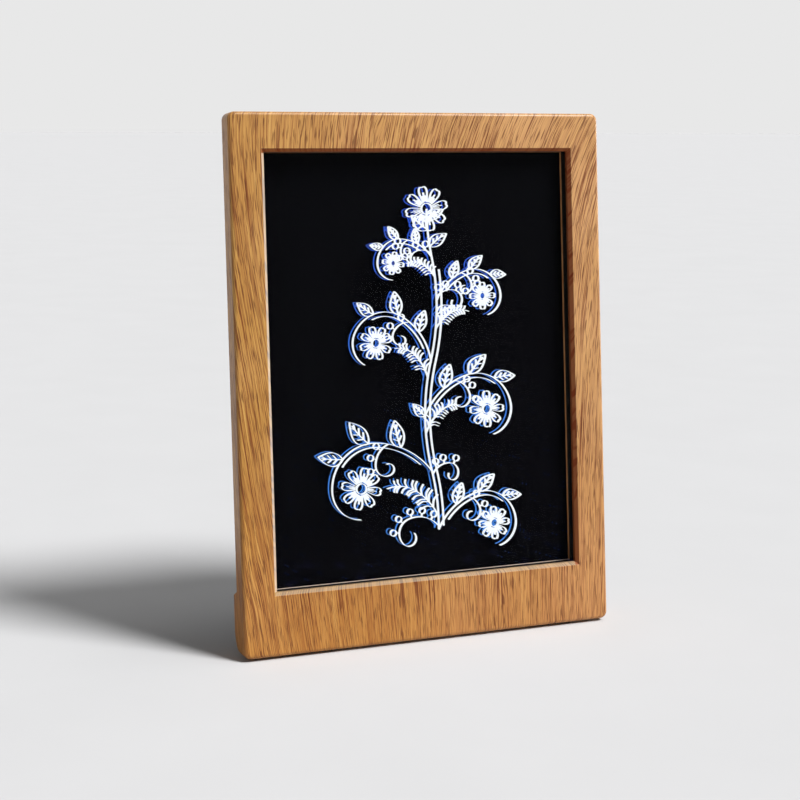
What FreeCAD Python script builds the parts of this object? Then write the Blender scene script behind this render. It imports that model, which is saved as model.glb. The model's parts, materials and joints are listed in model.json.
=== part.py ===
import FreeCAD, Part

import os
from math import asin, cos, degrees, radians, sin, sqrt, tan

# Photo frame night light, in millimetres. Everything is drawn with the frame upright:
# X runs across the front, Y from the front face to the back, Z up from the bottom edge.
# The last step leans each piece back and stands it on the floor at Z = 0.

# Outside of the frame
frame_width = 180.0
frame_height = 240.0
corner_radius = 3.3
front_round = 1.8
rear_chamfer = 0.7
rail_side = 16.0
rail_top = 17.5
rail_bottom = 28.5
window_bevel = 1.5
lean_angle = 6.0

# The base stands out behind the bottom rail
base_step = 4.2
base_height = 28.4
shoulder_drop = 1.8
shoulder_round = 1.2
bottom_round = 11.0

# Walls
face_wall = 2.0
side_wall = 2.2
cover_wall = 1.4
lip_wall = 2.0
lip_depth = 3.2
smallest_corner = 0.6
cover_crease = 0.5
cutter_run = 5.0

# Layers in the window, from front to back
layer_gap = 0.05
panel_thickness = 4.0
inner_frame_depth = 1.6
backdrop_thickness = 0.4
panel_overlap = 5.0
panel_tail = 14.5
pad_length = 22.0
pad_width = 1.5
pad_count = 3
top_pad_x = 37.0
cover_fit = 0.15
rib_fit = 0.2
rib_thickness = 1.5
side_rib_inset = 62.0
top_rib_x = 44.0
channel_rib_inset = 10.0
channel_rib_count = 6

# Main lines engraved in the panel's front: a stem of arcs that run on from each other, with a
# scroll at the start of each one that curls round a flower. Headings are in degrees to the
# right of straight up, and the reaches of a scroll's arcs are shares of its size.
engraving_depth = 0.25
stem_start = (5.0, 49.5)
stem_heading = 2.0
stem_radius = 105.0
stem_turns = (-15.0, 14.0, 14.0, -15.0, -11.0, 12.0)
stem_width = 2.4
scroll_sizes = (14.0, -17.5, 15.5, -14.0, 11.5, -9.5)
scroll_lean = 24.0
scroll_arcs = ((2.1, 50.0), (1.15, 95.0), (0.8, 85.0))
scroll_width = 1.5
flower_points = 8
flower_share = 0.5
flower_waist = 0.5
top_flower_radius = 9.5

# Light source below the panel
channel_wall = 0.8
channel_floor = 1.0
channel_grip = 5.0
channel_fit = 0.1
led_board_thickness = 1.0
led_board_tail = 3.0
led_board_inset = 1.0
led_count = 9
led_pitch = 16.5
led_length = 3.5
led_width = 2.8
led_height = 0.8
led_gap = 1.1
resistor_size = (2.0, 1.2, 0.5)

# Control board, socket and switch in the base
board_left = 24.0
board_length = 44.0
board_width = 5.0
board_thickness = 1.0
board_rise = 2.0
board_clear = 0.2
socket_x = 32.5
socket_width = 8.9
socket_height = 3.2
socket_length = 6.5
socket_wall = 0.3
socket_end_round = 1.3
socket_sink = 0.1
socket_gap = 0.2
tongue_width = 6.7
tongue_thickness = 0.7
tongue_length = 4.6
tongue_root_length = 1.0
tongue_root_thickness = 1.8
switch_x = 53.0
switch_rise = 4.6
switch_width = 6.0
switch_depth = 2.8
switch_height = 7.4
switch_back_wall = 0.6
button_radius = 3.2
button_flange = 0.8
button_flange_thickness = 1.2
button_proud = 1.2
button_travel = 0.8
button_gap = 0.2
button_chamfer = 0.5
flange_gap = 0.1
plunger_radius = 1.0
plunger_gap = 0.1
plunger_end_gap = 0.2
dish_margin = 1.6
dish_sink = 0.45
chip_x = 42.5
chip_size = (4.9, 3.9, 1.5)
capacitor_radius = 1.5
capacitor_height = 4.2
component_gap = 0.6
wire_width = 1.2
wire_thickness = 0.6
wire_spacing = 1.5
wire_pad_inset = 2.4
wire_edge_inset = 1.1
wire_turn_out = 0.9

# Screws
screw_inset = 6.4
screw_low = 20.0
screw_high_drop = 8.8
screw_head_radius = 2.3
screw_head_height = 1.5
screw_radius = 1.1
screw_length = 5.8
screw_clearance = 0.05
boss_radius = 2.8
cup_wall = 1.1
cup_floor = 1.4
head_sink = 0.3
screw_hole_gap = 0.2
screw_point_gap = 0.5
board_screw_radius = 0.8
board_screw_length = 5.0
board_screw_head_radius = 1.5
board_screw_head_height = 1.0
board_screw_gap = 0.4
board_post_half = 1.9

# Stand leg, kept in a pocket across the back of the base and swung out to stand
leg_length = 68.0
leg_thickness = 4.0
leg_height = 8.4
leg_skin = 1.4
leg_rib = 1.2
leg_bay_count = 5
leg_barrel_relief = 0.25
leg_gap = 0.35
leg_sink = 0.1
stop_gap = 0.06
finger_gap = 5.0
pocket_wall = 1.2
cheek_wall = 2.0
hinge_z = 18.0
pin_radius = 1.0
pin_running_gap = 0.05
pin_seat_gap = 0.02
pin_end_sink = 0.1
washer_radius = 1.7
washer_thickness = 0.4
washer_gap = 0.1
foot_radius = 4.5
foot_grip = 4.6
tongue_in_foot = 2.0
tongue_height = 5.0
tongue_end_gap = 1.5

# Rubber feet under the front edge
sole_x = 60.0
sole_length = 24.0
sole_front = 4.0
sole_depth = 4.5
sole_thickness = 2.2
sole_proud = 0.9

# Levels worked out from the sizes above
half_width = frame_width / 2
window_half = half_width - rail_side
window_low = rail_bottom
window_high = frame_height - rail_top
panel_front = lip_depth + layer_gap
panel_back = panel_front + panel_thickness
inner_front = panel_back + layer_gap
inner_back = inner_front + inner_frame_depth
backdrop_front = inner_back + layer_gap
backdrop_back = backdrop_front + backdrop_thickness
cover_front = backdrop_back + layer_gap
frame_depth = cover_front + cover_wall
base_depth = frame_depth + base_step
panel_half = window_half + panel_overlap
panel_low = window_low - panel_tail
panel_high = window_high + panel_overlap
inner_low = window_low - panel_overlap
cavity_half = half_width - side_wall
cavity_high = frame_height - side_wall
inside_corner = max(corner_radius - side_wall, smallest_corner)
led_board_top = panel_low - led_gap - led_height
channel_low = led_board_top - led_board_thickness - layer_gap - channel_floor
channel_back = panel_back + channel_fit + channel_wall
board_low = bottom_round + board_rise
board_top = board_low + board_thickness
board_front = channel_back + board_clear
base_inside = base_depth - cover_wall
switch_z = board_top + switch_rise
screw_x = half_width - screw_inset
screw_levels = (screw_low, frame_height - screw_high_drop)
screw_seat = frame_depth - head_sink - screw_head_height
cup_front = screw_seat - cup_floor
lean = radians(lean_angle)
lowest = -(base_depth - bottom_round) * sin(lean) + bottom_round * (cos(lean) - 1)
floor_level = lowest - sole_proud
hinge_y = base_depth - leg_sink - leg_thickness / 2 - leg_barrel_relief
hinge_height = hinge_z * cos(lean) - hinge_y * sin(lean) - floor_level
leg_dip = asin((hinge_height - foot_radius) / leg_length)
hinge_tilt = degrees(leg_dip) - lean_angle
leg_turn = 90.0
pocket_half = leg_height / 2 + washer_thickness + 2 * washer_gap
pocket_depth = leg_thickness / 2 + leg_gap
pocket_end = leg_length + foot_radius + finger_gap
leg_end = leg_length - foot_grip


def vector(x, y, z):
    return FreeCAD.Vector(x, y, z)


def block(x0, x1, y0, y1, z0, z1):
    return Part.makeBox(x1 - x0, y1 - y0, z1 - z0, vector(x0, y0, z0))


def rod_y(x, z, radius, y0, y1):
    return Part.makeCylinder(radius, y1 - y0, vector(x, y0, z), vector(0, 1, 0))


def rod_z(x, y, radius, z0, z1):
    return Part.makeCylinder(radius, z1 - z0, vector(x, y, z0), vector(0, 0, 1))


def corner_arc(before, corner, after, radius):
    # arc of the given radius that touches both straight sides of a corner
    to_before = (before - corner).normalize()
    to_after = (after - corner).normalize()
    half_turn = to_before.getAngle(to_after) / 2
    reach = radius / tan(half_turn)
    middle = (to_before + to_after).normalize()
    start = corner + to_before * reach
    end = corner + to_after * reach
    crown = corner + middle * (radius / sin(half_turn) - radius)
    return start, crown, end


def path(points, radii, closed=True):
    # straight runs joined by tangent arcs; a radius of 0 leaves the corner sharp
    count = len(points)
    stops = []
    for index, point in enumerate(points):
        is_end = not closed and index in (0, count - 1)
        if radii[index] == 0 or is_end:
            stops.append((point, None, point))
        else:
            before = points[index - 1]
            after = points[(index + 1) % count]
            stops.append(corner_arc(before, point, after, radii[index]))
    edges = []
    for index, (start, crown, end) in enumerate(stops):
        if crown is not None:
            edges.append(Part.Arc(start, crown, end).toShape())
        if index < count - 1 or closed:
            following = stops[(index + 1) % count][0]
            if (following - end).Length > 1e-6:
                edges.append(Part.LineSegment(end, following).toShape())
    return Part.Wire(edges)


def side_solid(corners, x0, x1):
    # outline of (y, z, radius) corners, pulled from x0 to x1
    points = [vector(x0, y, z) for y, z, radius in corners]
    radii = [radius for y, z, radius in corners]
    return Part.Face(path(points, radii)).extrude(vector(x1 - x0, 0, 0))


def front_solid(corners, y0, y1):
    # outline of (x, z, radius) corners, pulled from y0 to y1
    points = [vector(x, y0, z) for x, z, radius in corners]
    radii = [radius for x, z, radius in corners]
    return Part.Face(path(points, radii)).extrude(vector(0, y1 - y0, 0))


def slab(half, z0, z1, radius, y0, y1):
    corners = [(-half, z0, radius), (half, z0, radius), (half, z1, radius), (-half, z1, radius)]
    return front_solid(corners, y0, y1)


def joined(shapes):
    whole = shapes[0]
    for shape in shapes[1:]:
        whole = whole.fuse(shape)
    return whole.removeSplitter()


def without(shape, tools):
    for tool in tools:
        shape = shape.cut(tool)
    return shape.removeSplitter()


def edges_at(shape, y, inside=None):
    # edges that lie flat at the depth y, within half the given width if there is one
    found = []
    for edge in shape.Edges:
        box = edge.BoundBox
        if abs(box.YMin - y) > 1e-4 or abs(box.YMax - y) > 1e-4:
            continue
        if inside is None or max(abs(box.XMin), abs(box.XMax)) < inside:
            found.append(edge)
    return found


def floor_line(y):
    # height of the floor under a point y behind the front face
    return (floor_level + y * sin(lean)) / cos(lean)


def shoulder_line(y, inset):
    # height of the base's sloping top, moved inwards by inset
    slope_length = sqrt(base_step ** 2 + shoulder_drop ** 2)
    start = base_height - shoulder_drop
    return start - (inset * slope_length + shoulder_drop * (y - base_depth)) / base_step


def outer_profile():
    return [
        (0.0, 0.0, 0),
        (base_depth, 0.0, bottom_round),
        (base_depth, base_height - shoulder_drop, shoulder_round),
        (frame_depth, base_height, 0),
        (frame_depth, frame_height, 0),
        (0.0, frame_height, 0),
    ]


def outer_body():
    body = side_solid(outer_profile(), -half_width, half_width)
    outline = slab(half_width, 0.0, frame_height, corner_radius, -cutter_run, base_depth + cutter_run)
    body = body.common(outline).removeSplitter()
    body = body.makeFillet(front_round, edges_at(body, 0.0))
    # the level edge where the shoulder meets the back stays sharp
    rear = [edge for edge in edges_at(body, frame_depth) if edge.BoundBox.ZMax > base_height + 1]
    return body.makeChamfer(rear_chamfer, rear)


def sole_corners(margin, lift):
    front = sole_front - margin
    back = sole_front + sole_depth + margin
    return [
        (front, floor_line(front) + lift, 0),
        (back, floor_line(back) + lift, 0),
        (back, floor_line(back) + sole_thickness + margin, 0),
        (front, floor_line(front) + sole_thickness + margin, 0),
    ]


def bezel_stiffeners():
    # bosses, posts and ribs that stay when the inside is hollowed out
    parts = []
    for side in (-1, 1):
        for level in screw_levels:
            boss = rod_y(side * screw_x, level, boss_radius, 0.0, cup_front - layer_gap)
            parts.append(boss)
        near = side * (panel_half + rib_fit)
        far = side * half_width
        for level in (side_rib_inset, frame_height - side_rib_inset - rib_thickness):
            low_x = min(near, far)
            high_x = max(near, far)
            parts.append(block(low_x, high_x, 0.0, inner_back, level, level + rib_thickness))
        left = side * top_rib_x - rib_thickness / 2
        right = left + rib_thickness
        parts.append(block(left, right, 0.0, inner_back, panel_high + rib_fit, frame_height))
    reach = panel_half - channel_rib_inset
    for index in range(channel_rib_count):
        left = -reach + index * 2 * reach / (channel_rib_count - 1) - rib_thickness / 2
        right = left + rib_thickness
        parts.append(block(left, right, 0.0, channel_back, 0.0, channel_low - layer_gap))
    for x in board_screw_places():
        front = board_screw_y() - board_post_half
        back = board_screw_y() + board_post_half
        left = x - board_post_half
        right = x + board_post_half
        parts.append(block(left, right, front, back, 0.0, board_low - layer_gap))
    return parts


def front_bezel():
    body = outer_body()
    rear = base_depth + cutter_run
    hollow_corners = [
        (face_wall, side_wall, 0),
        (base_depth - side_wall, side_wall, bottom_round - side_wall),
        (base_depth - side_wall, bottom_round, 0),
        (rear, bottom_round, 0),
        (rear, cavity_high, 0),
        (face_wall, cavity_high, 0),
    ]
    hollow = side_solid(hollow_corners, -cavity_half, cavity_half)
    hollow = hollow.common(slab(cavity_half, side_wall, cavity_high, inside_corner, 0.0, rear))
    lip_half = window_half + lip_wall
    lip = slab(lip_half, window_low - lip_wall, window_high + lip_wall, 0, 0.0, lip_depth)
    hollow = without(hollow, [lip] + bezel_stiffeners())
    body = body.cut(hollow)
    window = slab(window_half, window_low, window_high, 0, -cutter_run, rear)
    body = body.cut(window).removeSplitter()
    body = body.makeChamfer(window_bevel, edges_at(body, 0.0, window_half + layer_gap))
    cuts = []
    blind_end = screw_seat - screw_length - screw_point_gap
    for side in (-1, 1):
        for level in screw_levels:
            hole = rod_y(side * screw_x, level, screw_radius + screw_clearance, blind_end, rear)
            cuts.append(hole)
        start = side * sole_x - sole_length / 2 - layer_gap
        end = start + sole_length + 2 * layer_gap
        recess = side_solid(sole_corners(layer_gap, -sole_thickness), start, end)
        cuts.append(recess)
    for x in board_screw_places():
        point = board_top - board_screw_length - screw_point_gap
        cuts.append(rod_z(x, board_screw_y(), board_screw_radius + screw_clearance, point, board_top))
    return without(body, cuts)


def engraved_face(wire):
    face = Part.Face(wire)
    return face.extrude(vector(0, cutter_run + engraving_depth, 0))


def engraved_arc(x, z, heading, radius, turn, width):
    # groove along an arc, with the place and heading of its end and the centre of its turn
    side = 1 if turn > 0 else -1
    centre_x = x + side * radius * cos(radians(heading))
    centre_z = z - side * radius * sin(radians(heading))

    def spot(reach, share):
        angle = radians(heading + share * turn)
        away = side * (radius + reach)
        return vector(centre_x - away * cos(angle), panel_front - cutter_run, centre_z + away * sin(angle))

    half = width / 2
    inner = Part.Arc(spot(-half, 0), spot(-half, 0.5), spot(-half, 1)).toShape()
    outer = Part.Arc(spot(half, 0), spot(half, 0.5), spot(half, 1)).toShape()
    start = Part.LineSegment(spot(-half, 0), spot(half, 0)).toShape()
    finish = Part.LineSegment(spot(-half, 1), spot(half, 1)).toShape()
    groove = engraved_face(Part.Wire([inner, finish, outer, start]))
    end = spot(0, 1)
    return groove, (end.x, end.z, heading + turn), (centre_x, centre_z)


def engraved_flower(x, z, radius):
    corners = []
    for index in range(2 * flower_points):
        angle = radians(index * 180 / flower_points)
        reach = radius if index % 2 == 0 else radius * flower_waist
        corners.append(vector(x + reach * sin(angle), panel_front - cutter_run, z + reach * cos(angle)))
    return engraved_face(Part.makePolygon(corners + corners[:1]))


def engraved_scroll(x, z, heading, size):
    # a size below 0 is a scroll to the left
    side = 1 if size > 0 else -1
    place = (x, z, heading + side * scroll_lean)
    cuts = []
    for reach, turn in scroll_arcs:
        groove, place, centre = engraved_arc(*place, reach * abs(size), side * turn, scroll_width)
        cuts.append(groove)
    cuts.append(engraved_flower(*centre, abs(size) * flower_share))
    return cuts


def engraving():
    place = (*stem_start, stem_heading)
    cuts = []
    for turn, size in zip(stem_turns, scroll_sizes):
        cuts += engraved_scroll(*place, size)
        groove, place, centre = engraved_arc(*place, stem_radius, turn, stem_width)
        cuts.append(groove)
    x, z, heading = place
    cuts.append(engraved_flower(x, z, top_flower_radius))
    return cuts


def acrylic_panel():
    sheet = slab(panel_half, panel_low, panel_high, 0, panel_front, panel_back)
    return without(sheet, engraving())


def panel_pads():
    # foam strips between the front wall and the edge of the panel
    front = face_wall + layer_gap
    back = panel_front - layer_gap
    near = panel_half - layer_gap - pad_width
    pads = []
    for side in (-1, 1):
        x0 = min(side * near, side * (near + pad_width))
        for index in range(pad_count):
            z = window_low + (window_high - window_low) * (index + 1) / (pad_count + 1)
            pads.append(block(x0, x0 + pad_width, front, back, z - pad_length / 2, z + pad_length / 2))
        x = side * top_pad_x
        z = panel_high - layer_gap - pad_width
        pads.append(block(x - pad_length / 2, x + pad_length / 2, front, back, z, z + pad_width))
    return Part.makeCompound(pads)


def inner_frame():
    ring = slab(panel_half, inner_low, panel_high, 0, inner_front, inner_back)
    behind = inner_back + cutter_run
    return ring.cut(slab(window_half, window_low, window_high, 0, 0.0, behind))


def backdrop_sheet():
    return slab(panel_half, inner_low, panel_high, 0, backdrop_front, backdrop_back)


def light_channel():
    inside_front = panel_front - channel_fit
    inside_back = panel_back + channel_fit
    top = panel_low + channel_grip
    outer = block(-panel_half, panel_half, inside_front - channel_wall, channel_back, channel_low, top)
    floor_top = channel_low + channel_floor
    reach = panel_half + cutter_run
    return outer.cut(block(-reach, reach, inside_front, inside_back, floor_top, top + cutter_run))


def led_board():
    low = led_board_top - led_board_thickness
    end = panel_half + led_board_tail
    return block(-panel_half + led_board_inset, end, panel_front, panel_back, low, led_board_top)


def led_places():
    start = -led_pitch * (led_count - 1) / 2
    return [start + index * led_pitch for index in range(led_count)]


def leds():
    middle = (panel_front + panel_back) / 2
    lamps = []
    for x in led_places():
        lamps.append(block(x - led_length / 2, x + led_length / 2, middle - led_width / 2,
                           middle + led_width / 2, led_board_top, led_board_top + led_height))
    return Part.makeCompound(lamps)


def led_resistors():
    length, width, height = resistor_size
    middle = (panel_front + panel_back) / 2
    chips = []
    for x in led_places()[1::3]:
        place = x + led_pitch / 2
        chips.append(block(place - length / 2, place + length / 2, middle - width / 2,
                           middle + width / 2, led_board_top, led_board_top + height))
    return Part.makeCompound(chips)


def board_screw_places():
    # one screw beside the socket, one beside the switch
    beside_socket = socket_x - socket_width / 2 - board_screw_head_radius - board_screw_gap
    beside_switch = switch_x + switch_width / 2 + board_screw_head_radius + board_screw_gap
    return beside_socket, beside_switch


def board_screw_y():
    return board_front + board_width / 2


def control_board():
    right = board_left + board_length
    board = block(board_left, right, board_front, board_front + board_width, board_low, board_top)
    holes = []
    for x in board_screw_places():
        radius = board_screw_radius + screw_hole_gap
        holes.append(rod_z(x, board_screw_y(), radius, 0.0, board_top + cutter_run))
    return without(board, holes)


def board_components():
    length, width, height = chip_size
    middle = board_screw_y()
    chip = block(chip_x - length / 2, chip_x + length / 2, middle - width / 2,
                 middle + width / 2, board_top, board_top + height)
    capacitor_x = chip_x + length / 2 + capacitor_radius + component_gap
    capacitor = rod_z(capacitor_x, middle, capacitor_radius, board_top, board_top + capacitor_height)
    return Part.makeCompound([chip, capacitor])


def socket_body(margin, y0, y1):
    # the shell's rounded outline, grown by the margin all round
    low = board_top - margin
    high = board_top + socket_height + margin
    radius = socket_end_round + margin
    left = socket_x - socket_width / 2 - margin
    right = socket_x + socket_width / 2 + margin
    corners = [(left, low, radius), (right, low, radius), (right, high, radius), (left, high, radius)]
    return front_solid(corners, y0, y1)


def usb_socket():
    mouth = base_depth - socket_sink
    back = mouth - socket_length
    shell = socket_body(0.0, back, mouth)
    return shell.cut(socket_body(-socket_wall, back + socket_wall, base_depth))


def usb_tongue():
    middle = board_top + socket_height / 2
    back = base_depth - socket_sink - socket_length + socket_wall
    half = tongue_width / 2
    root_half = tongue_root_thickness / 2
    plate = block(socket_x - half, socket_x + half, back, back + tongue_length,
                  middle - tongue_thickness / 2, middle + tongue_thickness / 2)
    root = block(socket_x - half, socket_x + half, back, back + tongue_root_length,
                 middle - root_half, middle + root_half)
    return joined([plate, root])


def switch_body():
    half = switch_width / 2
    low = board_top
    body = block(switch_x - half, switch_x + half, board_front, board_front + switch_depth,
                 low, low + switch_height)
    bottom = board_front + switch_back_wall
    bore = rod_y(switch_x, switch_z, plunger_radius + plunger_gap, bottom, base_depth)
    return body.cut(bore)


def switch_plunger():
    # the free end stays clear of the bottom of its bore when the button is pressed
    start = board_front + switch_back_wall + plunger_end_gap + button_travel
    return rod_y(switch_x, switch_z, plunger_radius, start, button_front())


def button_front():
    return base_inside - flange_gap - button_flange_thickness


def power_button():
    front = button_front()
    flange = rod_y(switch_x, switch_z, button_radius + button_flange, front, base_inside - flange_gap)
    top = base_depth + button_proud
    cap = rod_y(switch_x, switch_z, button_radius, front, top)
    return joined([flange, cap.makeChamfer(button_chamfer, edges_at(cap, top))])


def led_wire(index):
    # flat lead with mitred bends, from the control board to the end of the strip
    spacing = index * wire_spacing
    start_x = board_left + board_length - wire_pad_inset
    start_y = board_front + wire_edge_inset + spacing
    start = vector(start_x, start_y, board_top + wire_thickness / 2 + layer_gap)
    turn_x = panel_half + wire_turn_out + spacing
    turn_y = panel_back - wire_edge_inset - spacing
    points = [
        start,
        vector(turn_x, start.y, start.z),
        vector(turn_x, turn_y, start.z),
        vector(turn_x, turn_y, led_board_top + layer_gap),
    ]
    spine = path(points, [0, 0, 0, 0], closed=False)
    section = []
    for across, up in ((-1, -1), (1, -1), (1, 1), (-1, 1), (-1, -1)):
        section.append(start + vector(0, across * wire_width / 2, up * wire_thickness / 2))
    return spine.makePipeShell([Part.makePolygon(section)], True, True, 1)


def led_wires():
    return Part.makeCompound([led_wire(0), led_wire(1)])


def cover_corners():
    top = cavity_high - cover_fit
    low = bottom_round + cover_fit
    inside_front = frame_depth - cover_wall
    return [
        (frame_depth, top, 0),
        (frame_depth, base_height, cover_crease),
        (base_depth, base_height - shoulder_drop, shoulder_round),
        (base_depth, low, 0),
        (base_inside, low, 0),
        (base_inside, shoulder_line(base_inside, cover_wall), 0),
        (inside_front, shoulder_line(inside_front, cover_wall), 0),
        (inside_front, top, 0),
    ]


def leg_pocket_walls():
    depth = pocket_depth + pocket_wall
    half = pocket_half + cheek_wall
    right = leg_thickness / 2 + stop_gap + cheek_wall
    walls = block(-pocket_end - pocket_wall, right, -depth, base_depth, -half, half)
    above_seam = block(-half_width, half_width, 0.0, base_depth, bottom_round + cover_fit, base_height)
    return at_hinge(walls).common(side_solid(outer_profile(), -half_width, half_width)).common(above_seam)


def rear_cover():
    half = cavity_half - cover_fit
    body = side_solid(cover_corners(), -half, half)
    top = cavity_high - cover_fit
    outline = slab(half, 0.0, top, inside_corner, 0.0, base_depth)
    solids = [body.common(outline), leg_pocket_walls()]
    cuts = []
    beyond = base_depth + cutter_run
    well_radius = screw_head_radius + screw_hole_gap
    for side in (-1, 1):
        for level in screw_levels:
            surface = base_depth if level < base_height else frame_depth
            x = side * screw_x
            solids.append(rod_y(x, level, well_radius + cup_wall, cup_front, surface - cover_wall / 2))
            cuts.append(rod_y(x, level, well_radius, screw_seat, beyond))
            cuts.append(rod_y(x, level, screw_radius + screw_hole_gap, 0.0, beyond))
    cover = joined(solids)
    # pocket for the folded leg; its right-hand end is the stop of the open leg
    stop = leg_thickness / 2 + stop_gap
    cuts.append(at_hinge(block(-pocket_end, stop, -pocket_depth, beyond, -pocket_half, pocket_half)))
    reach = pocket_half + cheek_wall + cutter_run
    cuts.append(at_hinge(rod_z(0, 0, pin_radius + pin_seat_gap, -reach, reach)))
    dish_bottom = base_depth - dish_sink
    cuts.append(socket_body(socket_gap, cup_front, beyond))
    cuts.append(socket_body(dish_margin, dish_bottom, beyond))
    cuts.append(rod_y(switch_x, switch_z, button_radius + button_gap, base_depth - 2 * cover_wall, beyond))
    cuts.append(rod_y(switch_x, switch_z, button_radius + dish_margin, dish_bottom, beyond))
    return without(cover, cuts)


def cover_screws():
    screws = []
    for side in (-1, 1):
        for level in screw_levels:
            x = side * screw_x
            head = rod_y(x, level, screw_head_radius, screw_seat, screw_seat + screw_head_height)
            shank = rod_y(x, level, screw_radius, screw_seat - screw_length, screw_seat)
            screws.append(joined([head, shank]))
    return Part.makeCompound(screws)


def board_screws():
    screws = []
    for x in board_screw_places():
        y = board_screw_y()
        head = rod_z(x, y, board_screw_head_radius, board_top, board_top + board_screw_head_height)
        shank = rod_z(x, y, board_screw_radius, board_top - board_screw_length, board_top)
        screws.append(joined([head, shank]))
    return Part.makeCompound(screws)


def at_hinge(shape):
    # leg pieces are drawn folded, about a hinge axis along Z through the origin
    shape = shape.copy()
    shape.rotate(vector(0, 0, 0), vector(1, 0, 0), -hinge_tilt)
    shape.translate(vector(0, hinge_y, hinge_z))
    return shape


def opened(shape):
    shape = shape.copy()
    shape.rotate(vector(0, 0, 0), vector(0, 0, 1), -leg_turn)
    return at_hinge(shape)


def stand_leg():
    half = leg_thickness / 2
    tall = leg_height / 2
    plate = block(-leg_end, 0.0, -half, half, -tall, tall)
    barrel = rod_z(0, 0, half - leg_barrel_relief, -tall, tall)
    low = tongue_height / 2
    tongue_end = leg_length + foot_radius - tongue_end_gap
    deep = tongue_in_foot / 2
    tongue = block(-tongue_end, -leg_end, -deep, deep, -low, low)
    # open bays between the ribs, on the side that faces the pocket
    first = -leg_end + leg_rib
    bay = (-half - first - (leg_bay_count - 1) * leg_rib) / leg_bay_count
    bays = []
    for index in range(leg_bay_count):
        x0 = first + index * (bay + leg_rib)
        bays.append(block(x0, x0 + bay, -leg_thickness, half - leg_skin, leg_rib - tall, tall - leg_rib))
    hole = rod_z(0, 0, pin_radius + pin_running_gap, -leg_height, leg_height)
    return opened(without(joined([plate, barrel, tongue]), bays + [hole]))


def leg_foot():
    half = leg_thickness / 2
    near = leg_end + layer_gap
    sleeve = block(-leg_length, -near, -half, half, -foot_radius, foot_radius)
    body = joined([sleeve, rod_y(-leg_length, 0, foot_radius, -half, half)])
    low = tongue_height / 2 + layer_gap
    deep = tongue_in_foot / 2 + layer_gap
    tongue_end = leg_length + foot_radius - tongue_end_gap + layer_gap
    return opened(body.cut(block(-tongue_end, 0.0, -deep, deep, -low, low)))


def hinge_pin():
    reach = pocket_half + cheek_wall - pin_end_sink
    return at_hinge(rod_z(0, 0, pin_radius, -reach, reach))


def hinge_washers():
    washers = []
    for near in (leg_height / 2 + washer_gap, -leg_height / 2 - washer_gap - washer_thickness):
        ring = rod_z(0, 0, washer_radius, near, near + washer_thickness)
        washers.append(ring.cut(rod_z(0, 0, pin_radius + pin_running_gap, near, near + washer_thickness)))
    return at_hinge(Part.makeCompound(washers))


def base_feet():
    feet = []
    for side in (-1, 1):
        start = side * sole_x - sole_length / 2
        feet.append(side_solid(sole_corners(0.0, 0.0), start, start + sole_length))
    return Part.makeCompound(feet)


def front_reach():
    # foremost point of the leaned frame, on the rounding of its bottom front edge
    return front_round * (cos(lean) + sin(lean) - 1)


def back_reach():
    hinge_back = hinge_y * cos(lean) + hinge_z * sin(lean)
    return hinge_back + leg_length * cos(leg_dip) + foot_radius


def stood(shape):
    # lean back, set on the floor and centre between the front edge and the leg's foot
    shape = shape.copy()
    shape.rotate(vector(0, 0, 0), vector(1, 0, 0), -lean_angle)
    middle = (front_reach() + back_reach()) / 2
    shape.translate(vector(0, -middle, -floor_level))
    return shape


pieces = {
    "front_bezel": front_bezel,
    "acrylic_panel": acrylic_panel,
    "panel_pads": panel_pads,
    "inner_frame": inner_frame,
    "backdrop_sheet": backdrop_sheet,
    "light_channel": light_channel,
    "led_board": led_board,
    "leds": leds,
    "led_resistors": led_resistors,
    "led_wires": led_wires,
    "control_board": control_board,
    "board_components": board_components,
    "board_screws": board_screws,
    "usb_socket": usb_socket,
    "usb_tongue": usb_tongue,
    "switch_body": switch_body,
    "switch_plunger": switch_plunger,
    "power_button": power_button,
    "rear_cover": rear_cover,
    "cover_screws": cover_screws,
    "stand_leg": stand_leg,
    "leg_foot": leg_foot,
    "hinge_pin": hinge_pin,
    "hinge_washers": hinge_washers,
    "base_feet": base_feet,
}

os.makedirs("parts", exist_ok=True)
for name, make in pieces.items():
    piece = stood(make())
    piece.exportStep("parts/" + name + ".step")
    print(name, "solids", len(piece.Solids), "valid", piece.isValid(), "volume", round(piece.Volume, 2))
print("hinge leans", round(hinge_tilt, 3), "degrees from the frame")
print("frame depth", round(frame_depth, 3), "base depth", round(base_depth, 3))
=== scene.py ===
import json
from math import cos, exp, pi, radians, sin

import bmesh
import bpy
from mathutils import Matrix, Vector


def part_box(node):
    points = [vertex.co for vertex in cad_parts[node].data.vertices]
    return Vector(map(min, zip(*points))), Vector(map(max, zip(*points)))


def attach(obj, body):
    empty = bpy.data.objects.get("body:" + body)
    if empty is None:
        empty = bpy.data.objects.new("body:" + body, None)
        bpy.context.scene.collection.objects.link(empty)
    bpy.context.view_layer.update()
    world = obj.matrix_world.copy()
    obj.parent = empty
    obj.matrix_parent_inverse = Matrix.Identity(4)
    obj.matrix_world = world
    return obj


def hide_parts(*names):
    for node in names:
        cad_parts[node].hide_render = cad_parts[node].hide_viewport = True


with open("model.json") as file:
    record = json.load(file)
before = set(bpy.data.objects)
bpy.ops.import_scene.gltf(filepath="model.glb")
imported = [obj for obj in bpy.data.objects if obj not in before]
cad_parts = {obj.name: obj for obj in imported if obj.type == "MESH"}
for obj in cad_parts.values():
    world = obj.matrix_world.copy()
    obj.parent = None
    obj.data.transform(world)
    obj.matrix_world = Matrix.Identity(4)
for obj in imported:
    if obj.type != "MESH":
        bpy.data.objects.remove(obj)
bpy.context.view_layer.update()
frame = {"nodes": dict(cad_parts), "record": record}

print("frame loaded:", len(frame["nodes"]), "nodes")

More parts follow.
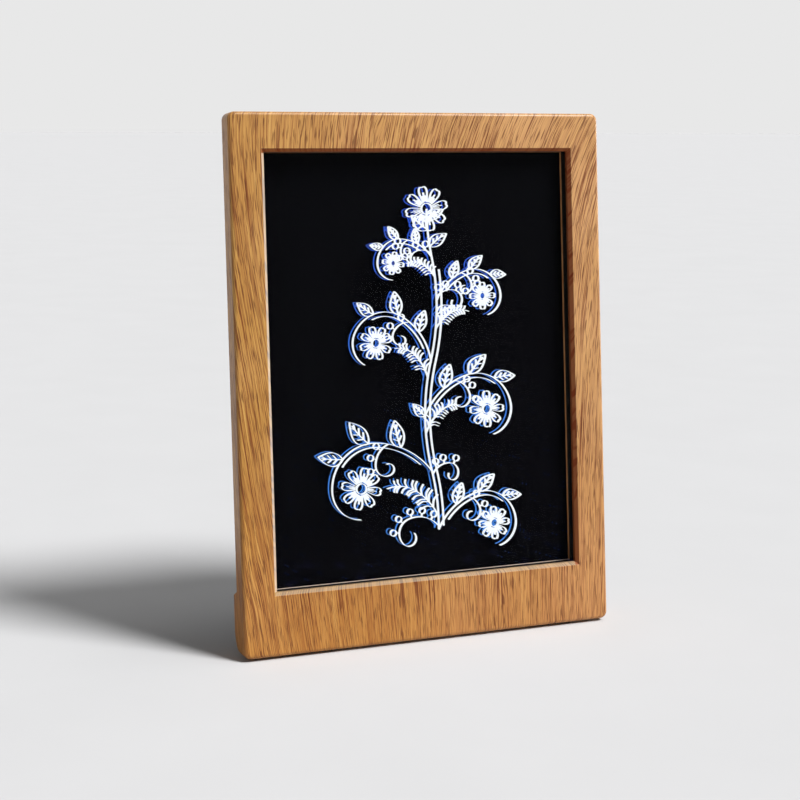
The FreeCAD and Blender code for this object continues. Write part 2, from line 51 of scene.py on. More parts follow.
# The frame leans back. Pieces here are drawn upright, in millimetres, with x across the
# front, y going back and z up, and toWorld leans them and sets them where the CAD has them.
stance = {"lean": 6.0, "sheetFront": 8.95, "sheetBack": 9.35, "sheetFoot": 23.5}

lean = radians(stance["lean"])
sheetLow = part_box("backdrop_sheet")[0]
shiftBack = sheetLow[1] - (stance["sheetFront"] * cos(lean) + stance["sheetFoot"] * sin(lean)) / 1000
shiftUp = sheetLow[2] - (stance["sheetFoot"] * cos(lean) - stance["sheetBack"] * sin(lean)) / 1000
toWorld = (
    Matrix.Translation((0, shiftBack, shiftUp))
    @ Matrix.Rotation(-lean, 4, "X")
    @ Matrix.Scale(0.001, 4)
)


def facingFront(depth):
    # turns a drawing in x and y to face the front, at a depth behind the frame's face
    return toWorld @ Matrix.Translation((0, depth, 0)) @ Matrix.Rotation(pi / 2, 4, "X")


def tint(red, green, blue, alpha=1.0):
    # screen colour 0-255 to the linear values that sockets take
    def linear(level):
        level = level / 255
        return level / 12.92 if level <= 0.04045 else ((level + 0.055) / 1.055) ** 2.4

    return (linear(red), linear(green), linear(blue), alpha)


# Node trees: one small class wraps a socket so that shader maths reads as plain maths
class Signal:
    def __init__(self, graph, socket):
        self.graph = graph
        self.socket = socket

    def maths(self, kind, *values):
        return self.graph.signal("ShaderNodeMath", {"operation": kind}, dict(enumerate(values)))

    def __add__(self, other):
        return self.maths("ADD", self, other)

    def __radd__(self, other):
        return self.maths("ADD", other, self)

    def __sub__(self, other):
        return self.maths("SUBTRACT", self, other)

    def __rsub__(self, other):
        return self.maths("SUBTRACT", other, self)

    def __mul__(self, other):
        return self.maths("MULTIPLY", self, other)

    def __rmul__(self, other):
        return self.maths("MULTIPLY", other, self)

    def __truediv__(self, other):
        return self.maths("DIVIDE", self, other)

    def size(self):
        return self.maths("ABSOLUTE", self)

    def wave(self):
        return self.maths("SINE", self)

    def rise(self, start, stop, low=0.0, high=1.0):
        # smooth step from low to high between start and stop
        settings = {"interpolation_type": "SMOOTHSTEP"}
        values = {"Value": self, "From Min": start, "From Max": stop, "To Min": low, "To Max": high}
        return self.graph.signal("ShaderNodeMapRange", settings, values)


class Graph:
    def __init__(self, tree):
        self.tree = tree

    def node(self, kind, settings=None, values=None):
        made = self.tree.nodes.new(kind)
        for key, value in (settings or {}).items():
            if key == "stops":
                ramp = made.color_ramp
                while len(ramp.elements) < len(value):
                    ramp.elements.new(1.0)
                for element, (place, colour) in zip(ramp.elements, value):
                    element.position = place
                    element.color = colour
            else:
                setattr(made, key, value)
        for key, value in (values or {}).items():
            if isinstance(value, Signal):
                self.tree.links.new(value.socket, made.inputs[key])
            elif isinstance(value, bpy.types.NodeSocket):
                self.tree.links.new(value, made.inputs[key])
            else:
                made.inputs[key].default_value = value
        return made

    def signal(self, kind, settings=None, values=None, output=0):
        return Signal(self, self.node(kind, settings, values).outputs[output])


class Finish(Graph):
    def __init__(self, name):
        self.material = bpy.data.materials.new(name)
        self.material.use_nodes = True
        super().__init__(self.material.node_tree)
        self.tree.nodes.clear()

    def place(self):
        # upright millimetres of the point, as x, y and z
        back = Matrix.Rotation(lean, 3, "X") @ Vector((0, shiftBack * 1000, shiftUp * 1000))
        where = self.node("ShaderNodeTexCoord")
        settings = {"vector_type": "POINT"}
        values = {"Vector": where.outputs["Object"], "Location": -back,
                  "Rotation": (lean, 0, 0), "Scale": (1000, 1000, 1000)}
        upright = self.node("ShaderNodeMapping", settings, values)
        parts = self.node("ShaderNodeSeparateXYZ", None, {0: upright.outputs[0]})
        return tuple(Signal(self, parts.outputs[index]) for index in range(3))

    def point(self, x, y, z):
        return self.signal("ShaderNodeCombineXYZ", None, {0: x, 1: y, 2: z})

    def noise(self, vector, scale=1.0, detail=2.0, roughness=0.5):
        values = {"Vector": vector, "Scale": scale, "Detail": detail, "Roughness": roughness}
        return self.signal("ShaderNodeTexNoise", {"noise_dimensions": "3D"}, values)

    def stretched(self, across, along, size, layer, detail=1.0, roughness=0.5):
        # noise in spots of the size (wide, long) in millimetres, taken from one layer of the pattern
        wide, long = size
        return self.noise(self.point(across / wide, along / long, layer), 1.0, detail, roughness)

    def mixed(self, mask, first, second):
        return self.signal("ShaderNodeMix", {"data_type": "RGBA"}, {0: mask, 6: first, 7: second}, 2)

    def ramp(self, mask, stops):
        return self.signal("ShaderNodeValToRGB", {"stops": stops}, {0: mask})

    def bump(self, height, depth, strength=1.0):
        # depth in millimetres
        values = {"Height": height, "Distance": depth / 1000, "Strength": strength}
        return self.signal("ShaderNodeBump", None, values)

    def done(self, **values):
        inputs = {key.replace("_", " "): value for key, value in values.items()}
        shader = self.node("ShaderNodeBsdfPrincipled", None, inputs)
        self.node("ShaderNodeOutputMaterial", None, {"Surface": shader.outputs[0]})
        return self.material


# three colours here are for the opening's bevel: a painted shade at the right and top, a painted light at the
# foot and a painted highlight at the left
woodFilm = {"deep": (118, 66, 22), "mid": (162, 110, 46), "light": (184, 134, 62), "pale": (206, 160, 86),
            "blushAndLight": (216, 166, 120), "warm": (182, 104, 42), "streak": (108, 44, 12),
            "pore": (84, 32, 8), "pressed": (124, 44, 4), "footLight": (142, 142, 118), "wearAndHighlight": (241, 238, 226),
            "bend": 14.0, "lean": 0.05, "fan": 0.1, "fanReach": 80.0, "flare": 6.0,
            "swirl": 3.4, "ripple": 0.9, "blush": 0.12, "warmth": 0.28, "streaks": 0.85, "pores": 0.7,
            "knots": ((-82.0, 40.0, 5.0), (-20.0, 232.0, 4.0), (83.0, 142.0, 4.5), (34.0, 12.0, 5.0)),
            "knotShape": 2.6, "knotPush": 0.4,
            "gloss": 0.42, "sheen": 0.14, "coat": 0.28, "coatGloss": 0.28}

# half the frame's width, half its height, and the height at which the grain has leant right over
filmReach = {"side": 90.0, "middle": 120.0, "arched": 235.0}

# spots of each layer of the grain, (across it, along it) in millimetres
grainSpots = {"swirl": (42.0, 95.0), "ripple": (9.0, 26.0), "broad": (20.0, 110.0), "band": (4.2, 80.0),
              "fine": (0.6, 34.0), "streak": (0.42, 60.0), "pore": (0.32, 8.0), "blush": (30.0, 45.0)}


def woodGrain(finish):
    # printed grain that runs up over all four rails, and round the edges on to the sides
    x, y, z = finish.place()
    across = x + x / filmReach["side"] * y
    along = z + (z - filmReach["middle"]) / filmReach["middle"] * y
    # upright at the foot, leaning over to the right towards the top, and more so on the right
    height = along / filmReach["arched"]
    arch = height * height * height * height * height
    drift = along * woodFilm["lean"] - arch * woodFilm["bend"]
    fan = (along - filmReach["middle"]) * woodFilm["fan"] + arch * woodFilm["flare"]
    drift = drift - across / woodFilm["fanReach"] * fan
    swirl = finish.stretched(across, along, grainSpots["swirl"], 2.1, 1.5, 0.4)
    ripple = finish.stretched(across, along, grainSpots["ripple"], 6.4, 0.0)
    line = across + drift + (swirl - 0.5) * woodFilm["swirl"] + (ripple - 0.5) * woodFilm["ripple"]
    for knotX, knotZ, reach in woodFilm["knots"]:
        # a few small knots push the lines aside
        offX = across - knotX
        offZ = (along - knotZ) / woodFilm["knotShape"]
        near = (offX * offX + offZ * offZ) / (-reach * reach)
        line = line + offX * near.maths("EXPONENT", near) * -woodFilm["knotPush"]
    broad = finish.stretched(line, along, grainSpots["broad"], 11.0)
    band = finish.stretched(line, along, grainSpots["band"], 5.0, 2.0, 0.6)
    fine = finish.stretched(line, along, grainSpots["fine"], 3.3, 2.0, 0.7)
    streak = finish.stretched(line, along, grainSpots["streak"], 9.1, 0.5).rise(0.57, 0.64)
    streak = streak * band.rise(0.68, 0.4, 0.35, 1.0)
    pore = finish.stretched(line, along, grainSpots["pore"], 7.7, 0.5).rise(0.57, 0.66)
    tone = 0.56 + (band - 0.5) * 0.4 + (fine - 0.5) * 1.5 + (broad - 0.5) * 0.45
    shades = [(0.14, tint(*woodFilm["deep"])), (0.4, tint(*woodFilm["mid"])),
              (0.64, tint(*woodFilm["light"])), (0.92, tint(*woodFilm["pale"]))]
    colour = finish.ramp(tone, shades)
    # rosier in patches, and painted lighter up towards the right, where more light falls
    blush = finish.stretched(across, along, grainSpots["blush"], 8.8).rise(0.4, 0.75)
    # painted light: the film grows paler and rosier towards the upper right
    paintedLight = (across / 180.0 + along / 480.0).rise(-0.5, 0.95, 0.0, 0.5)
    colour = finish.mixed(blush * woodFilm["blush"] + paintedLight, colour, tint(*woodFilm["blushAndLight"]))
    warmer = along.rise(115.0, 5.0, 0.0, woodFilm["warmth"])
    colour = finish.mixed(warmer, colour, tint(*woodFilm["warm"]))
    colour = finish.mixed(streak * woodFilm["streaks"], colour, tint(*woodFilm["streak"]))
    colour = finish.mixed(pore * woodFilm["pores"], colour, tint(*woodFilm["pore"]))
    return colour, fine, pore


# the opening's edges and bevel, how far in from them each side's mask rises, and how strong each painted
# shade, painted light and painted highlight is
opening = {"side": 74.0, "foot": 28.5, "top": 222.5, "bevel": 1.5, "margin": 0.2, "blur": 0.1, "deep": 0.25,
           "sideRise": (0.8, 0.2), "topRise": (0.9, 0.3), "footRise": (0.5, 0.1),
           "pressed": 0.75, "footLight": 0.4, "wearAndHighlight": 0.4, "coatLoss": 0.9}


def lowEdge(z):
    # the lower edge of the opening
    start, stop = opening["footRise"]
    return z.rise(opening["foot"] + start, opening["foot"] + stop)


def openingMasks(x, y, z):
    # on the bevel, the film has painted shade at the right and the top, a painted pale light at the foot and
    # a painted highlight at the left
    size = opening
    side, foot, top = size["side"], size["foot"], size["top"]
    outer = size["bevel"] + size["margin"]
    inner = outer - size["blur"]
    bevel = y.rise(0.0, size["deep"]) * x.size().rise(side + outer, side + inner)
    bevel = bevel * z.rise(foot - outer, foot - inner) * z.rise(top + outer, top + inner)
    atSide, atTop, low = size["sideRise"], size["topRise"], lowEdge(z)
    right = x.rise(side - atSide[0], side - atSide[1])
    left = x.rise(atSide[0] - side, atSide[1] - side)
    high = z.rise(top - atTop[0], top - atTop[1])
    paintedShade = bevel * right.maths("MAXIMUM", right, high)
    footLight = bevel * low * (1.0 - paintedShade)
    wearAndHighlight = bevel * left * (1.0 - paintedShade) * (1.0 - low)
    return paintedShade, footLight, wearAndHighlight


def makeWoodFilm():
    finish = Finish("wood_film")
    colour, fine, pore = woodGrain(finish)
    paintedShade, footLight, wearAndHighlight = openingMasks(*finish.place())
    # painted shade: darker red-brown on the right and top bevels, where they face away from the light
    colour = finish.mixed(paintedShade * opening["pressed"], colour, tint(*woodFilm["pressed"]))
    # painted light: a pale band over the bevel at the foot
    colour = finish.mixed(footLight * opening["footLight"], colour, tint(*woodFilm["footLight"]))
    # painted highlight: near white along the bevel at the left
    colour = finish.mixed(wearAndHighlight * opening["wearAndHighlight"], colour, tint(*woodFilm["wearAndHighlight"]))
    # less coat on the painted shade, so that it stays dark
    coat = woodFilm["coat"] * (1.0 - paintedShade * opening["coatLoss"])
    rough = woodFilm["gloss"] + pore * 0.18 + (fine - 0.5) * 0.12
    bump = finish.bump(fine * 0.4 - pore, 0.03, 0.5)
    return finish.done(Base_Color=colour, Roughness=rough, Normal=bump, Coat_Weight=coat,
                       Coat_Roughness=woodFilm["coatGloss"], Specular_IOR_Level=woodFilm["sheen"])


brownInner = {"litTone": (226, 150, 84), "glowPale": (226, 216, 204), "shadeBlack": (10, 9, 9),
              "litShare": 0.5, "glowShare": 0.7, "shadeDepth": (7.5, 7.4)}


def makeBrownInner():
    # spacer with film on its inner wall, painted lighter all over as if lit, paler still at the foot as light
    # from the lamps below, and painted black shade on its front face where it meets the panel
    finish = Finish("brown_inner")
    colour, fine, pore = woodGrain(finish)
    x, y, z = finish.place()
    # painted light: the whole film lighter, as if lit
    colour = finish.mixed(brownInner["litShare"], colour, tint(*brownInner["litTone"]))
    # painted light: paler at the foot, lit by the lamps below
    colour = finish.mixed(lowEdge(z) * brownInner["glowShare"], colour, tint(*brownInner["glowPale"]))
    # painted shade: black on the front face, where it meets the panel
    colour = finish.mixed(y.rise(*brownInner["shadeDepth"]), colour, tint(*brownInner["shadeBlack"]))
    rough = 0.5 + pore * 0.2
    return finish.done(Base_Color=colour, Roughness=rough, Normal=finish.bump(fine, 0.03, 0.4))


moulded = {"black_cover": {"colour": (34, 33, 34), "rough": 0.52, "grain": 0.45, "depth": 0.035},
           "chip_black": {"colour": (28, 28, 30), "rough": 0.5, "grain": 0.8, "depth": 0.02},
           "white_channel": {"colour": (228, 228, 222), "rough": 0.45, "grain": 0.7, "depth": 0.02},
           "pad_foam": {"colour": (32, 32, 34), "rough": 0.9, "grain": 0.5, "depth": 0.15},
           "rubber_black": {"colour": (30, 30, 31), "rough": 0.78, "grain": 0.6, "depth": 0.04}}
mouldWear = {"patch": 17.0, "brighter": 1.4, "lift": 7}


def makeMoulded(name):
    # spark-eroded mould texture, its grain and depth in millimetres, with faint worn patches
    look = moulded[name]
    grain, patch = look["grain"], mouldWear["patch"]
    finish = Finish(name)
    x, y, z = finish.place()
    pits = finish.noise(finish.point(x / grain, y / grain, z / grain), 1.0, 2.0, 0.6)
    wearAndHighlight = finish.noise(finish.point(x / patch, y / patch, z / patch), 1.0, 4.0, 0.6)
    lighter = tuple(min(255, level * mouldWear["brighter"] + mouldWear["lift"]) for level in look["colour"])
    mask = pits.rise(0.35, 0.7) * 0.5 + wearAndHighlight.rise(0.3, 0.7) * 0.4
    shade = finish.mixed(mask, tint(*look["colour"]), tint(*lighter))
    rough = look["rough"] + (pits - 0.5) * 0.2 + (wearAndHighlight - 0.5) * 0.16
    return finish.done(Base_Color=shade, Roughness=rough, Normal=finish.bump(pits, look["depth"], 0.7))


blackSheet = {"dark": (1, 1, 3), "fluff": (5, 6, 9), "sheen": 0.02}


def makeBlackSheet():
    finish = Finish("black_sheet")
    x, y, z = finish.place()
    fibre = finish.noise(finish.point(x / 0.35, y, z / 0.9), 1.0, 2.0)
    mask = fibre.rise(0.4, 0.8) * 0.5
    shade = finish.mixed(mask, tint(*blackSheet["dark"]), tint(*blackSheet["fluff"]))
    return finish.done(Base_Color=shade, Roughness=0.7 + fibre * 0.2,
                       Specular_IOR_Level=blackSheet["sheen"], Normal=finish.bump(fibre, 0.02, 0.4))


steel = {"dark": (150, 151, 154), "bright": (206, 207, 208), "rough": 0.24}
gold = {"dark": (214, 164, 84), "bright": (246, 208, 130), "rough": 0.25}


def makeSteel():
    finish = Finish("steel")
    x, y, z = finish.place()
    brushed = finish.noise(finish.point(x / 0.06, y / 1.2, z / 0.35), 1.0, 2.0)
    patch = finish.noise(finish.point(x / 2.4, y / 2.4, z / 2.4), 1.0, 3.0)
    shade = finish.mixed(brushed * 0.5 + patch * 0.5, tint(*steel["dark"]), tint(*steel["bright"]))
    rough = steel["rough"] + brushed * 0.14 + patch * 0.1
    return finish.done(Base_Color=shade, Metallic=1.0, Roughness=rough,
                       Normal=finish.bump(brushed, 0.006, 0.5))


def makeGold():
    finish = Finish("contact_gold")
    x, y, z = finish.place()
    wearAndHighlight = finish.noise(finish.point(x / 0.2, y / 0.5, z / 0.2), 1.0, 2.0)
    shade = finish.mixed(wearAndHighlight, tint(*gold["dark"]), tint(*gold["bright"]))
    return finish.done(Base_Color=shade, Metallic=1.0, Roughness=gold["rough"] + wearAndHighlight * 0.15)


board = {"weave": 0.5, "light": (226, 227, 220), "shade": (206, 208, 198), "track": (186, 190, 176)}


def makeBoard():
    # white solder mask over woven glass, with the copper tracks showing through
    finish = Finish("circuit_board")
    x, y, z = finish.place()
    weave = (x / board["weave"] * pi).wave() * (y / board["weave"] * pi).wave()
    patch = finish.noise(finish.point(x / 3.0, y / 3.0, z / 3.0), 1.0, 3.0)
    track = finish.noise(finish.point(x / 5.0, y / 1.2, 4.0), 1.0, 0.0).rise(0.48, 0.5)
    shade = finish.mixed(patch * 0.5 + weave * 0.1, tint(*board["light"]), tint(*board["shade"]))
    shade = finish.mixed(track * 0.35, shade, tint(*board["track"]))
    return finish.done(Base_Color=shade, Roughness=0.35 + patch * 0.15, Normal=finish.bump(track, 0.03, 0.6))


ledStrip = {"count": 9, "pitch": 16.5, "depth": 5.25, "halfWide": 1.2, "halfDeep": 0.95, "blur": 0.15,
            "body": (238, 238, 234), "phosphor": (240, 214, 96), "dust": (200, 190, 160),
            "glow": (170, 200, 255), "level": 1.0}


def makeLed():
    finish = Finish("led_body")
    x, y, z = finish.place()
    # yellow phosphor window in a white body, repeated at the strip's pitch
    size = ledStrip
    place = x + size["pitch"] * size["count"] / 2
    offX = (place.maths("MODULO", place, size["pitch"]) - size["pitch"] / 2).size()
    offY = (y - size["depth"]).size()
    window = offX.rise(size["halfWide"] + size["blur"], size["halfWide"])
    window = window * offY.rise(size["halfDeep"] + size["blur"], size["halfDeep"])
    speck = finish.noise(finish.point(x / 0.2, y / 0.2, z / 0.2), 1.0, 2.0)
    shade = finish.mixed(window, tint(*size["body"]), tint(*size["phosphor"]))
    shade = finish.mixed(speck * 0.15, shade, tint(*size["dust"]))
    glow = finish.mixed(window, (0, 0, 0, 1), tint(*size["glow"]))
    return finish.done(Base_Color=shade, Roughness=0.3 + speck * 0.1, Emission_Color=glow,
                       Emission_Strength=size["level"])


wireSkin = {"dark": (150, 20, 16), "pale": (186, 40, 30)}


def makeWireSkin():
    finish = Finish("wire_red")
    x, y, z = finish.place()
    wearAndHighlight = finish.noise(finish.point(x / 1.5, y / 1.5, z / 1.5), 1.0, 3.0)
    shade = finish.mixed(wearAndHighlight, tint(*wireSkin["dark"]), tint(*wireSkin["pale"]))
    return finish.done(Base_Color=shade, Roughness=0.35 + wearAndHighlight * 0.15)


clearPanel = {"alpha": 0.03, "dust": 0.4, "veil": 0.3, "haze": (24, 44, 140), "speck": (70, 120, 230),
              "base": (5, 6, 8), "hazeTop": 52.0, "hazeFoot": 29.0, "dustTop": 140.0, "dustFoot": 30.0,
              "level": 0.6}


def makeClearPanel():
    # clear sheet over black: a thin veil, a little dust, and blue haze low down by the lamps
    finish = Finish("clear_panel")
    x, y, z = finish.place()
    dust = finish.noise(finish.point(x / 0.9, 0.0, z / 0.9), 1.0, 0.0).rise(0.80, 0.83)
    cloud = finish.noise(finish.point(x / 9.0, 0.0, z / 5.0), 1.0, 3.0, 0.6).rise(0.52, 0.75)
    haze = cloud * z.rise(clearPanel["hazeTop"], clearPanel["hazeFoot"]) * 0.5
    glow = finish.mixed(haze, (0, 0, 0, 1), tint(*clearPanel["haze"]))
    lit = dust * z.rise(clearPanel["dustTop"], clearPanel["dustFoot"])
    glow = finish.mixed(lit, glow, tint(*clearPanel["speck"]))
    alpha = clearPanel["alpha"] + dust * clearPanel["dust"] + haze * clearPanel["veil"]
    rough = 0.06 + cloud * 0.05
    return finish.done(Base_Color=tint(*clearPanel["base"]), Roughness=rough, Alpha=alpha,
                       Specular_IOR_Level=0.5, Emission_Color=glow, Emission_Strength=clearPanel["level"])


engravedLight = {"core": (248, 252, 253), "cool": (222, 239, 253), "body": (70, 76, 84), "level": 0.94}
echoLight = {"high": (34, 84, 220), "low": (72, 152, 250), "deep": (8, 20, 90), "body": (6, 10, 26),
             "top": 205.0, "foot": 60.0, "level": 0.86}


def makeEngravedLight():
    finish = Finish("engraved_light")
    x, y, z = finish.place()
    grain = finish.noise(finish.point(x / 0.5, 0.0, z / 0.5), 1.0, 2.0).rise(0.22, 0.5)
    glow = finish.mixed(grain, tint(*engravedLight["cool"]), tint(*engravedLight["core"]))
    return finish.done(Base_Color=tint(*engravedLight["body"]), Roughness=0.6, Emission_Color=glow,
                       Emission_Strength=engravedLight["level"])


def makeEchoLight():
    # a painted reflection: a glowing copy of the strokes on the black sheet, dimmer and bluer, stands in for
    # their reflection in the back of the clear sheet
    finish = Finish("engraved_echo")
    x, y, z = finish.place()
    down = z.rise(echoLight["top"], echoLight["foot"])
    grain = finish.noise(finish.point(x / 0.8, 0.0, z / 0.8), 1.0, 2.0)
    mask = down * 0.85 + (grain - 0.5) * 0.3
    glow = finish.mixed(mask, tint(*echoLight["high"]), tint(*echoLight["low"]))
    patches = finish.noise(finish.point(x / 3.5, 2.0, z / 3.5), 1.0, 1.0).rise(0.5, 0.75, 0.0, 0.7)
    glow = finish.mixed(patches, glow, tint(*echoLight["deep"]))
    return finish.done(Base_Color=tint(*echoLight["body"]), Roughness=0.8, Emission_Color=glow,
                       Emission_Strength=echoLight["level"])


finishes = {"wood_film": makeWoodFilm(), "brown_inner": makeBrownInner(), "black_sheet": makeBlackSheet(),
            "steel": makeSteel(), "contact_gold": makeGold(), "circuit_board": makeBoard(),
            "led_body": makeLed(), "wire_red": makeWireSkin(), "clear_panel": makeClearPanel(),
            "engraved_light": makeEngravedLight(), "engraved_echo": makeEchoLight()}
for name in moulded:
    finishes[name] = makeMoulded(name)

for entry in frame["record"]["subparts"]:
    node = frame["nodes"][entry["node"]]
    node.data.materials.clear()
    node.data.materials.append(finishes[entry["material_slot"]])
print("finishes made:", len(finishes))


def newPiece(name, mesh, finish, body="frame", smooth=True):
    piece = bpy.data.objects.new(name, mesh)
    bpy.context.scene.collection.objects.link(piece)
    if not mesh.materials:
        mesh.materials.append(finishes[finish])
    for face in mesh.polygons:
        face.use_smooth = smooth
    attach(piece, body)
    return piece


def meshFrom(name, points, faces):
    mesh = bpy.data.meshes.new(name)
    mesh.from_pydata([tuple(point) for point in points], [], faces)
    mesh.validate()
    return mesh


def newTree(name, inputs):
    tree = bpy.data.node_groups.new(name, "GeometryNodeTree")
    tree.interface.new_socket("Geometry", in_out="INPUT", socket_type="NodeSocketGeometry")
    tree.interface.new_socket("Geometry", in_out="OUTPUT", socket_type="NodeSocketGeometry")
    for label, (kind, start) in inputs.items():
        socket = tree.interface.new_socket(label, in_out="INPUT", socket_type=kind)
        if start is not None:
            socket.default_value = start
    graph = Graph(tree)
    source = graph.node("NodeGroupInput")
    return graph, source


def closeTree(graph, geometry, material):
    real = graph.node("GeometryNodeRealizeInstances", None, {0: geometry})
    painted = graph.node("GeometryNodeSetMaterial", None, {"Geometry": real.outputs[0], "Material": material})
    graph.node("NodeGroupOutput", None, {0: painted.outputs[0]})
    return graph.tree


def grown(holder, tree, values, name):
    # runs a tree on the holder and gives its result as a plain mesh
    modifier = holder.modifiers.new("grow", "NODES")
    modifier.node_group = tree
    for item in tree.interface.items_tree:
        if item.in_out == "INPUT" and item.name in values:
            modifier[item.identifier] = values[item.name]
    bpy.context.view_layer.update()
    graph = bpy.context.evaluated_depsgraph_get()
    mesh = bpy.data.meshes.new_from_object(holder.evaluated_get(graph), depsgraph=graph)
    mesh.name = name
    holder.modifiers.remove(modifier)
    bpy.data.objects.remove(holder)
    return mesh


# The engraving: a plain flowering stem, drawn as strokes of (x, z) with a width at each end.
# The stem, the scrolls and the flowers lie in the grooves of the CAD panel.
engraving = {"start": (5.0, 49.5), "heading": 2.0, "stemRadius": 105.0,
             "stemTurns": (-15, 14, 14, -15, -11, 12), "scrolls": (14.0, -17.5, 15.5, -14.0, 11.5, -9.5),
             "scrollLean": 24.0, "scrollArcs": ((2.1, 50.0), (1.15, 95.0), (0.8, 85.0)),
             "petals": 8, "flower": 0.56, "topFlower": 10.5, "topTurn": 0.2, "line": 1.0,
             "stem": (2.7, 1.35), "scroll": (1.75, 1.1375), "scrollLine": (0.8, 0.7), "stemLine": (0.9, 0.7),
             "scrollGap": 2.0, "scrollSkip": 4, "scrollShare": 0.62, "stemGap": 2.4, "stemSkip": (1, 18),
             "leafLean": 0.8, "topLeafLean": 0.95, "fernLean": 0.45, "curlLean": 0.7,
             "scrollCurl": {"place": 0.3, "lean": 0.6, "size": 0.36, "berries": 3},
             "relief": 0.24, "depth": 3.36, "echoDepth": 8.87, "echoWidth": 0.85, "smooth": 4,
             "leaves": ((0.22, 0.72), (0.4, 0.76), (0.58, 0.66)),
             "topLeaves": ((0.965, 1, 9.0), (0.93, -1, 10.0), (0.875, 1, 10.0), (0.66, 1, 9.0),
                           (0.36, -1, 8.0)),
             "ferns": ((0.05, -1, 30), (0.30, 1, 22), (0.47, -1, 22), (0.62, 1, 19), (0.78, -1, 16)),
             "curls": ((0.02, -1, 8.5, 5), (0.72, 1, 5.5, 4), (0.86, -1, 4.5, 4), (0.18, 1, 5.5, 3))}


# Shapes of the motifs: lengths as shares of a motif's own size, arcs as (share, degrees), and widths at
# both ends as shares of the line's. The shortest barb, the stalks and the berries are in millimetres.
leafForm = {"fat": 0.34, "blunt": 0.8, "narrow": 0.45, "bow": 0.16, "rib": 0.86, "ribWidth": (0.9, 0.45),
            "veins": (0.24, 0.46, 0.68), "veinRise": 0.16, "veinReach": 0.62, "veinWidth": (0.6, 0.4),
            "sideSteps": 12, "ribSteps": 8}
flowerForm = {"core": 0.24, "petalWidth": 0.92, "waist": 0.25, "petalFoot": 1.25, "round": 0.42,
              "notch": 0.09, "notchWidth": 0.09, "steps": 18, "veinFoot": 1.35,
              "veins": ((-0.28, 0.58), (0.0, 0.72), (0.28, 0.58)), "veinWidth": (0.75, 0.4)}
fernForm = {"arcs": ((1.1, 28), (0.55, 52)), "width": (1.1, 0.6), "pairs": 9, "barb": 0.2, "taper": 0.75,
            "shortest": 0.9, "spread": 1.05, "bend": 0.3, "knee": 0.55, "barbWidth": (0.95, 0.4)}
curlForm = {"arcs": ((1.6, 70), (0.8, 120), (0.42, 170)), "width": (1.15, 0.7), "first": 1.2, "spare": 4,
            "stalk": 1.4, "stalkWidth": (0.6, 0.6), "berry": 1.4, "berryPlace": 2.9, "berryWidth": 0.85,
            "berrySteps": 10}


